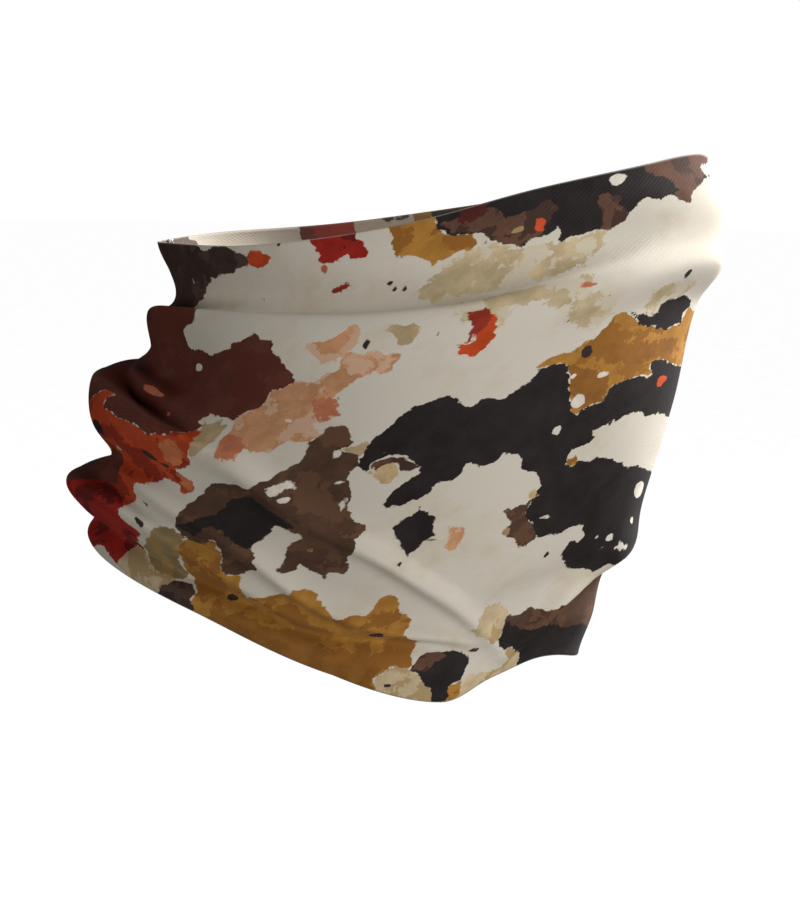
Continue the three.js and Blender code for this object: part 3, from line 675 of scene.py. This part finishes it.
def make_cloth():
    """The tube: outer layer, half as fine an inner layer, and the cut edges between them."""
    angle, down, u, w = cloth_grid()
    columns = COLUMNS + 1
    rows = ROWS + 1
    points = np.concatenate([
        cloth_point(angle, down, 0).reshape(-1, 3),
        cloth_point(angle, down, CLOTH_THICKNESS).reshape(-1, 3),
    ])
    outer, inner = np.arange(columns * rows * 2).reshape(2, columns, rows)
    outer[-1] = outer[0]
    inner[-1] = inner[0]
    i, j = np.meshgrid(np.arange(COLUMNS), np.arange(ROWS), indexing="ij")
    outside = np.stack([outer[i, j], outer[i + 1, j], outer[i + 1, j + 1], outer[i, j + 1]], -1)
    i, j = i[::2, ::2], j[::2, ::2]
    inside = np.stack([inner[i, j], inner[i, j + 2], inner[i + 2, j + 2], inner[i + 2, j]], -1)
    k = np.arange(0, COLUMNS, 2)
    rim = np.stack([outer[k + 1, 0], outer[k, 0], inner[k, 0], inner[k + 2, 0], outer[k + 2, 0]], -1)
    edge = np.stack(
        [outer[k + 1, -1], outer[k + 2, -1], inner[k + 2, -1], inner[k, -1], outer[k, -1]], -1,
    )
    faces = [*outside.reshape(-1, 4), *inside.reshape(-1, 4), *rim, *edge]
    used, places = np.unique(np.concatenate(faces), return_inverse=True)
    counts = np.cumsum([len(face) for face in faces])[:-1]
    faces = [part.tolist() for part in np.split(places.ravel(), counts)]
    obj = make_mesh("printed_cloth", points[used], faces)
    add_attributes(obj.data, u, w, used)
    return obj


def write_values(mesh, name, values):
    attribute = mesh.attributes.new(name, "FLOAT", "POINT")
    attribute.data.foreach_set("value", values.astype(np.float32))


def write_place(mesh, place):
    """Give a piece the coordinates, in mm, that its weave or twist follows."""
    attribute = mesh.attributes.new("cloth_mm", "FLOAT_VECTOR", "POINT")
    attribute.data.foreach_set("vector", np.asarray(place, np.float32).ravel())


def add_attributes(mesh, u, w, used):
    """Write the print fields, the cloth's own coordinates and which layer each vertex is in."""
    layer_size = u.size
    in_layer = used % layer_size
    fields = print_fields(u.ravel(), w.ravel())
    for ink, field in fields.items():
        write_values(mesh, "ink_" + ink, field[in_layer])
    inner = (used >= layer_size).astype(np.float32)
    write_values(mesh, "inner_layer", inner)
    write_place(mesh, np.stack([u.ravel()[in_layer], w.ravel()[in_layer], inner * INNER_LAYER_SHIFT], -1))
    write_values(mesh, "edge_mm", np.minimum(w, w[:, -1:] - w).ravel()[in_layer])


def seam_point(across, down, depth):
    """A point beside the seam, across mm towards the wearer's left and depth mm under the face."""
    return cloth_point(SEAM_ANGLE + across / MM_PER_DEGREE, down, depth)


def ribbon(name, section, downs):
    """A band along the seam. The section is a closed loop of (across, depth) points."""
    section = np.array(section, float)
    count = len(section)
    down, corner = np.meshgrid(downs, np.arange(count), indexing="ij")
    points = seam_point(section[corner, 0], down, section[corner, 1]).reshape(-1, 3)
    rings = len(downs)
    faces = []
    for ring in range(rings - 1):
        for k in range(count):
            here, after = ring * count + k, ring * count + (k + 1) % count
            faces.append((here, after, after + count, here + count))
    faces.append(tuple(reversed(range(count))))
    faces.append(tuple(range((rings - 1) * count, rings * count)))
    obj = make_mesh(name, points, faces)
    along = np.repeat(downs * SEAM_LENGTH, count)
    across, depth = np.tile(section, (rings, 1)).T
    write_place(obj.data, np.stack([across, along, depth], -1))
    return obj


def flat_loop(path, thickness):
    """The outline of a strip of even thickness that follows a path of (across, depth) points."""
    path = np.array(path, float)
    along = np.gradient(path, axis=0)
    along /= np.linalg.norm(along, axis=1, keepdims=True)
    side = np.stack([-along[:, 1], along[:, 0]], -1) * thickness / 2
    return np.concatenate([path + side, (path - side)[::-1]])


def make_allowance():
    """The panel's two edges: a pair of leaves, one on the other, waved a little by the stitches."""
    downs = np.linspace(0.002, 0.998, 240)
    leaves = []
    for leaf in range(2):
        depth = ALLOWANCE_DEPTH + (leaf + 0.5) * ALLOWANCE_LEAF
        reach = ALLOWANCE_WIDTH - UPPER_LEAF_SHORTER_BY * leaf
        path = [(across, depth) for across in np.linspace(0.1, reach, 8)]
        leaves.append(ribbon(f"leaf_{leaf}", flat_loop(path, ALLOWANCE_LEAF * LEAF_SHARE), downs))
    return join(leaves, "turned_seam_allowance")


def join(pieces, name):
    """Join pieces into the first one."""
    with bpy.context.temp_override(active_object=pieces[0], selected_editable_objects=pieces):
        bpy.ops.object.join()
    pieces[0].name = name
    pieces[0].data.name = name
    return pieces[0]


def make_label():
    """A satin tape folded in two, its ends caught in the seam and its fold lying free."""
    near, far = LABEL_REACH
    fold = LABEL_FOLD_RADIUS
    out = [(-across, LABEL_DEPTH) for across in np.linspace(near, far - fold, 14)]
    turn = [
        (-(far - fold + fold * math.sin(a)), LABEL_DEPTH + fold * (1 - math.cos(a)))
        for a in np.linspace(0.4, math.pi - 0.4, 5)
    ]
    back = [(-across, LABEL_DEPTH + 2 * fold) for across in np.linspace(far - fold, near, 14)]
    section = flat_loop(out + turn + back, LABEL_THICKNESS)
    return ribbon("care_label_tape", section, np.linspace(*LABEL_DOWN, 26))


def thread(name, acrosses, depths):
    """A sewing thread along the seam through (across, depth) places spread evenly down it."""
    count = len(acrosses)
    downs = np.linspace(0.004, 0.996, count)
    centres = seam_point(np.array(acrosses), downs, np.array(depths))
    tangent = unit(np.gradient(centres, axis=0))
    side = unit(np.cross(tangent, [0.0, 1.0, 0.0]))
    up = np.cross(side, tangent)
    sides = THREAD_SIDES
    turn = 2 * math.pi * np.arange(sides) / sides
    ring = side[:, None] * np.cos(turn)[None, :, None] + up[:, None] * np.sin(turn)[None, :, None]
    points = (centres[:, None] + ring * THREAD_DIAMETER / 2).reshape(-1, 3)
    faces = []
    for i in range(count - 1):
        for k in range(sides):
            here, after = i * sides + k, i * sides + (k + 1) % sides
            faces.append((here, here + sides, after + sides, after))
    faces.append(tuple(range(sides)))
    faces.append(tuple(reversed(range((count - 1) * sides, count * sides))))
    obj = make_mesh(name, points, faces)
    length = np.concatenate([[0], np.cumsum(np.linalg.norm(np.diff(centres, axis=0), axis=1))])
    around = np.tile(turn * THREAD_DIAMETER / 2, count)
    write_place(obj.data, np.stack([around, np.repeat(length, sides), np.zeros(count * sides)], -1))
    return obj


def needle_thread(name, across):
    """A straight row of stitches, each pulled down at its ends."""
    steps = np.arange(STITCHES * STEPS_PER_STITCH + 1) / STEPS_PER_STITCH
    dip = NEEDLE_DIP * np.abs(np.cos(math.pi * steps)) ** 6
    return thread(name, np.full(len(steps), across), NEEDLE_DEPTH - dip)


def looper_thread(name, depth, first):
    """A zigzag from the seam to past the raw edges and back, one point for each stitch end."""
    steps = np.arange(STITCHES * STEPS_PER_STITCH + 1) / STEPS_PER_STITCH
    swing = np.abs(np.mod(steps + first, 2) - 1)
    swing = swing * swing * (3 - 2 * swing)
    near, far = LOOPER_REACH
    return thread(name, near + (far - near) * swing, np.full(len(steps), depth))


# ---- Materials ----

def linear(rgb):
    """sRGB 0-255 to the linear colour Blender's sockets take."""
    channels = [c / 255 for c in rgb]
    return [c / 12.92 if c <= 0.04045 else ((c + 0.055) / 1.055) ** 2.4 for c in channels] + [1]


class Nodes:
    """Short names for making a material's nodes."""

    def __init__(self, name):
        self.material = bpy.data.materials.new(name)
        self.material.use_nodes = True
        self.tree = self.material.node_tree
        self.shader = self.tree.nodes["Principled BSDF"]

    def put(self, socket, value):
        if hasattr(value, "is_output"):
            self.tree.links.new(value, socket)
        else:
            socket.default_value = value

    def add(self, kind, output=0, settings=None, **inputs):
        node = self.tree.nodes.new(kind)
        for key, value in (settings or {}).items():
            setattr(node, key, value)
        for key, value in inputs.items():
            self.put(node.inputs[int(key[1:]) if key[0] == "_" else key.replace("_", " ")], value)
        return node.outputs[output]

    def attribute(self, name, output="Fac"):
        node = self.tree.nodes.new("ShaderNodeAttribute")
        node.attribute_name = name
        return node.outputs[output]

    def math(self, operation, a, b=0.0, c=0.0):
        return self.add("ShaderNodeMath", settings={"operation": operation}, _0=a, _1=b, _2=c)

    def noise(self, vector, scale, detail=3, roughness=0.55):
        return self.add("ShaderNodeTexNoise", Vector=vector, Scale=scale, Detail=detail, Roughness=roughness)

    def ramp(self, value, low, high, to_low=0.0, to_high=1.0):
        return self.add(
            "ShaderNodeMapRange", Value=value, From_Min=low, From_Max=high, To_Min=to_low, To_Max=to_high,
        )

    def mix(self, share, a, b):
        return self.add("ShaderNodeMix", output=2, settings={"data_type": "RGBA"}, _0=share, _6=a, _7=b)


# How ragged each ink's edge is, mm.
RAGGED = {
    "stain_and_shade": 2.6, "deep_ochre": 2.6, "deep_salmon": 2.4, "amber": 2, "glow": 1.8, "cream": 1.2,
    "white_spot": 0.3, "tan_spot": 0.3, "orange_spot": 0.3, "salmon_spot": 0.4, "dark_spot": 0.3,
}
RAGGED_USUAL = 0.85
EDGE_BLUR = 0.14


def knit_height(nodes, place):
    """The knit's surface: fine ribs of stitches on a slant, and the yarn's unevenness."""
    slanted = nodes.add("ShaderNodeMapping", Vector=place, Rotation=(0, 0, math.radians(52)))
    ribs = nodes.add(
        "ShaderNodeTexWave", output=1, settings={"bands_direction": "X"},
        Vector=slanted, Scale=0.26, Distortion=0.6, Detail=1, Detail_Scale=0.8,
    )
    stitches = nodes.add(
        "ShaderNodeTexWave", output=1, settings={"bands_direction": "Y"}, Vector=place, Scale=0.4,
    )
    yarn = nodes.noise(place, 1.6, 2)
    both = nodes.math("MULTIPLY_ADD", stitches, 0.35, ribs)
    return nodes.math("MULTIPLY_ADD", yarn, 0.5, both)


def finish_knit(nodes, height):
    """Bump, roughness and a little sheen from the knit's surface."""
    bump = nodes.add("ShaderNodeBump", Height=height, Strength=0.22, Distance=0.0002)
    nodes.put(nodes.shader.inputs["Normal"], bump)
    nodes.put(nodes.shader.inputs["Roughness"], nodes.ramp(height, 0, 1.6, 0.9, 0.7))
    nodes.shader.inputs["Sheen Weight"].default_value = 0.06
    nodes.shader.inputs["Sheen Roughness"].default_value = 0.4
    nodes.shader.inputs["Specular IOR Level"].default_value = 0.35


def printed_knit():
    nodes = Nodes("printed_knit")
    place = nodes.attribute("cloth_mm", "Vector")
    ragged_noise = nodes.noise(place, 0.42, 5, 0.7)
    ragged = nodes.ramp(ragged_noise, 0.25, 0.75, -1, 1)
    colour = linear(INK["ground"])
    # Large tan stains at random over the whole cloth.
    stain_and_shade = nodes.ramp(nodes.noise(place, 0.035, 4, 0.7), 0.5, 0.72, 0, 0.5)
    colour = nodes.mix(stain_and_shade, colour, linear(INK["cream"]))
    specks = nodes.ramp(nodes.noise(place, 0.9, 2, 0.5), 0.735, 0.76, 0, 0.7)
    sparse = nodes.ramp(nodes.noise(place, 0.05, 1), 0.5, 0.62)
    colour = nodes.mix(nodes.math("MULTIPLY", specks, sparse), colour, linear(INK["tan"]))
    for ink, _ in PRINT + SPOTS:
        inside = nodes.attribute("ink_" + ink)
        reach = nodes.math("MULTIPLY_ADD", ragged, RAGGED.get(ink, RAGGED_USUAL), inside)
        mask = nodes.ramp(reach, -EDGE_BLUR, EDGE_BLUR)
        colour = nodes.mix(mask, colour, ink_colour(nodes, place, ink))
    faded = nodes.mix(0.12, colour, linear(INK["ground"]))
    colour = nodes.mix(nodes.attribute("inner_layer"), colour, faded)
    cut = nodes.ramp(nodes.attribute("edge_mm"), 0.5, 0.1, 0, 0.55)
    colour = nodes.mix(cut, colour, linear((196, 186, 172)))
    nodes.put(nodes.shader.inputs["Base Color"], colour)
    finish_knit(nodes, knit_height(nodes, place))
    return nodes.material


def ink_colour(nodes, place, ink):
    """An ink's colour with the mottling of a printed dye."""
    base = linear(INK[ink])
    mottle = nodes.ramp(nodes.noise(place, 0.11, 4, 0.65), 0.35, 0.68)
    lighter = [min(c * 1.25 + 0.008, 1) for c in base[:3]] + [1]
    darker = [c * 0.85 for c in base[:3]] + [1]
    colour = nodes.mix(mottle, darker, lighter)
    if ink in SECOND_TONE:
        second = nodes.ramp(nodes.noise(place, SECOND_TONE_SCALE, 6, 0.62), 0.52, 0.535)
        colour = nodes.mix(second, colour, linear(SECOND_TONE[ink]))
    return colour


def turned_knit():
    """The knit's unprinted back, where the panel's edges are turned in."""
    nodes = Nodes("turned_knit")
    place = nodes.attribute("cloth_mm", "Vector")
    tone = nodes.ramp(nodes.noise(place, 0.4, 4), 0.3, 0.7)
    colour = nodes.mix(tone, linear((206, 198, 184)), linear((228, 222, 212)))
    ghost = nodes.ramp(nodes.noise(place, 0.09, 4, 0.7), 0.5, 0.54, 0, 0.45)
    nodes.put(nodes.shader.inputs["Base Color"], nodes.mix(ghost, colour, linear((138, 112, 92))))
    finish_knit(nodes, knit_height(nodes, place))
    return nodes.material


def thread_look(name, dark, light):
    """Spun polyester: two plies twisted, seen as slanted bands along the thread."""
    nodes = Nodes(name)
    place = nodes.attribute("cloth_mm", "Vector")
    slanted = nodes.add("ShaderNodeMapping", Vector=place, Rotation=(0, 0, math.radians(35)))
    twist = nodes.add(
        "ShaderNodeTexWave", output=1, settings={"bands_direction": "Y"},
        Vector=slanted, Scale=1.1, Distortion=0.4,
    )
    fibre = nodes.noise(place, 9, 3)
    shade = nodes.math("MULTIPLY_ADD", fibre, 0.5, nodes.math("MULTIPLY", twist, 0.5))
    nodes.put(nodes.shader.inputs["Base Color"], nodes.mix(shade, linear(dark), linear(light)))
    bump = nodes.add("ShaderNodeBump", Height=shade, Strength=0.6, Distance=0.0001)
    nodes.put(nodes.shader.inputs["Normal"], bump)
    nodes.put(nodes.shader.inputs["Roughness"], nodes.ramp(fibre, 0.3, 0.7, 0.48, 0.7))
    nodes.shader.inputs["Sheen Weight"].default_value = 0.15
    return nodes.material


def satin_tape():
    """Blank white satin: long floats with a soft shine, ribbed by the weave and creased by wear, with
    painted highlight on the crease crests and painted shade in their troughs.
    """
    nodes = Nodes("satin_tape")
    place = nodes.attribute("cloth_mm", "Vector")
    weave = nodes.add(
        "ShaderNodeTexWave", output=1, settings={"bands_direction": "Y"}, Vector=place, Scale=1.3,
    )
    crease = nodes.noise(place, 0.35, 4, 0.6)
    # Painted shade and highlight: the tape is darker where the creases sink and lighter where they rise.
    tone = nodes.ramp(crease, 0.3, 0.7)
    colour = nodes.mix(tone, linear((225, 221, 211)), linear((244, 242, 236)))
    nodes.put(nodes.shader.inputs["Base Color"], colour)
    height = nodes.math("MULTIPLY_ADD", crease, 2.5, nodes.math("MULTIPLY", weave, 0.3))
    bump = nodes.add("ShaderNodeBump", Height=height, Strength=0.4, Distance=0.0002)
    nodes.put(nodes.shader.inputs["Normal"], bump)
    nodes.put(nodes.shader.inputs["Roughness"], nodes.ramp(weave, 0, 1, 0.32, 0.46))
    nodes.shader.inputs["Anisotropic"].default_value = 0.5
    return nodes.material


# ---- Camera, floor and light ----

TARGET = (0.006, 0, 0.084)
CAMERA_DISTANCE = 1.0
CAMERA_AZIMUTH = math.radians(12)
CAMERA_ELEVATION = math.radians(9)
LENS = 106.7
FLOOR_HEIGHT = -0.28
FLOOR_REACH = 6.0
LIGHT_DISTANCE = 1.6

# Name, azimuth, elevation, power in watts, size in metres.
LIGHTS = (
    ("key_behind_right", 130, 30, 44, 0.4),
    ("top_right", 50, 58, 5.5, 0.5),
    ("side_right", 58, 0, 9.5, 0.6),
    ("low_right", 50, -30, 6.5, 0.8),
    ("fill_left", -50, 0, 6.5, 1),
)


def look_at(obj, target):
    direction = np.array(target) - np.array(obj.location)
    obj.rotation_euler = Vector(direction).to_track_quat("-Z", "Y").to_euler()


def make_camera():
    data = bpy.data.cameras.new("camera")
    data.lens = LENS
    data.clip_start = 0.05
    camera = bpy.data.objects.new("camera", data)
    bpy.context.scene.collection.objects.link(camera)
    flat = math.cos(CAMERA_ELEVATION) * CAMERA_DISTANCE
    camera.location = (
        TARGET[0] + flat * math.sin(CAMERA_AZIMUTH),
        TARGET[1] - flat * math.cos(CAMERA_AZIMUTH),
        TARGET[2] + math.sin(CAMERA_ELEVATION) * CAMERA_DISTANCE,
    )
    look_at(camera, TARGET)
    bpy.context.scene.camera = camera


def make_light(name, azimuth, elevation, power, size):
    """A soft light on the sphere around the mask. Azimuth 0 is in front of the camera's side."""
    around, up = math.radians(azimuth), math.radians(elevation)
    data = bpy.data.lights.new(name, "AREA")
    data.size = size
    data.energy = power
    light = bpy.data.objects.new(name, data)
    bpy.context.scene.collection.objects.link(light)
    light.location = (
        TARGET[0] + LIGHT_DISTANCE * math.sin(around) * math.cos(up),
        TARGET[1] - LIGHT_DISTANCE * math.cos(around) * math.cos(up),
        TARGET[2] + LIGHT_DISTANCE * math.sin(up),
    )
    look_at(light, TARGET)


def floor_paper():
    """White paper that shines by itself, so the lights leave no pools on it."""
    nodes = Nodes("floor_paper")
    position = nodes.add("ShaderNodeTexCoord", output=3)
    grain = nodes.ramp(nodes.noise(position, 40), 0.3, 0.7, 0.97, 1)
    nodes.put(nodes.shader.inputs["Base Color"], (0.05, 0.05, 0.05, 1))
    nodes.put(nodes.shader.inputs["Roughness"], 0.9)
    grey = nodes.add("ShaderNodeCombineColor", _0=grain, _1=grain, _2=grain)
    nodes.put(nodes.shader.inputs["Emission Color"], grey)
    nodes.put(nodes.shader.inputs["Emission Strength"], 1)
    return nodes.material


def make_floor():
    corners = [
        (-FLOOR_REACH, -FLOOR_REACH, 0), (FLOOR_REACH, -FLOOR_REACH, 0),
        (FLOOR_REACH, FLOOR_REACH, 0), (-FLOOR_REACH, FLOOR_REACH, 0),
    ]
    floor = make_mesh("floor", np.array(corners) / MM, [(0, 1, 2, 3)], smooth=False)
    floor.location.z = FLOOR_HEIGHT
    floor.data.materials.append(floor_paper())
    floor.visible_diffuse = False
    floor.visible_glossy = False
    floor.visible_shadow = False


def make_world():
    """A white backdrop that the camera sees but that lights nothing."""
    world = bpy.data.worlds.new("studio")
    bpy.context.scene.world = world
    world.use_nodes = True
    background = world.node_tree.nodes["Background"]
    background.inputs["Color"].default_value = (1, 1, 1, 1)
    background.inputs["Strength"].default_value = 1
    world.cycles_visibility.diffuse = False
    world.cycles_visibility.glossy = False
    bpy.context.scene.view_settings.view_transform = "Standard"


# ---- Build ----

def place(piece, material, node, slot):
    """Give a piece its material, put it under the root, and hide the CAD part that it stands for."""
    piece.data.materials.clear()
    piece.data.materials.append(material)
    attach(piece, "root")
    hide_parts(node)


make_camera()
make_floor()
for light in LIGHTS:
    make_light(*light)
make_world()

cloth = make_cloth()
place(cloth, printed_knit(), "fabric_tube", "printed_knit")

allowance = make_allowance()
place(allowance, turned_knit(), "seam_allowance", "turned_knit")

needle_look = thread_look("needle_thread", (30, 24, 22), (66, 54, 48))
looper_look = thread_look("looper_thread", (40, 32, 28), (84, 70, 60))
inner_row, outer_row = NEEDLE_ROWS
place(needle_thread("needle_row_inner", inner_row), needle_look, "seam_needle_thread_inner", "needle_thread")
place(needle_thread("needle_row_outer", outer_row), needle_look, "seam_needle_thread_outer", "needle_thread")
upper_looper = looper_thread("looper_over", UPPER_LOOPER_DEPTH, 0)
place(upper_looper, looper_look, "seam_looper_thread_upper", "looper_thread")
lower_looper = looper_thread("looper_under", LOWER_LOOPER_DEPTH, 1)
place(lower_looper, looper_look, "seam_looper_thread_lower", "looper_thread")

label = make_label()
place(label, satin_tape(), "care_label", "satin_tape")
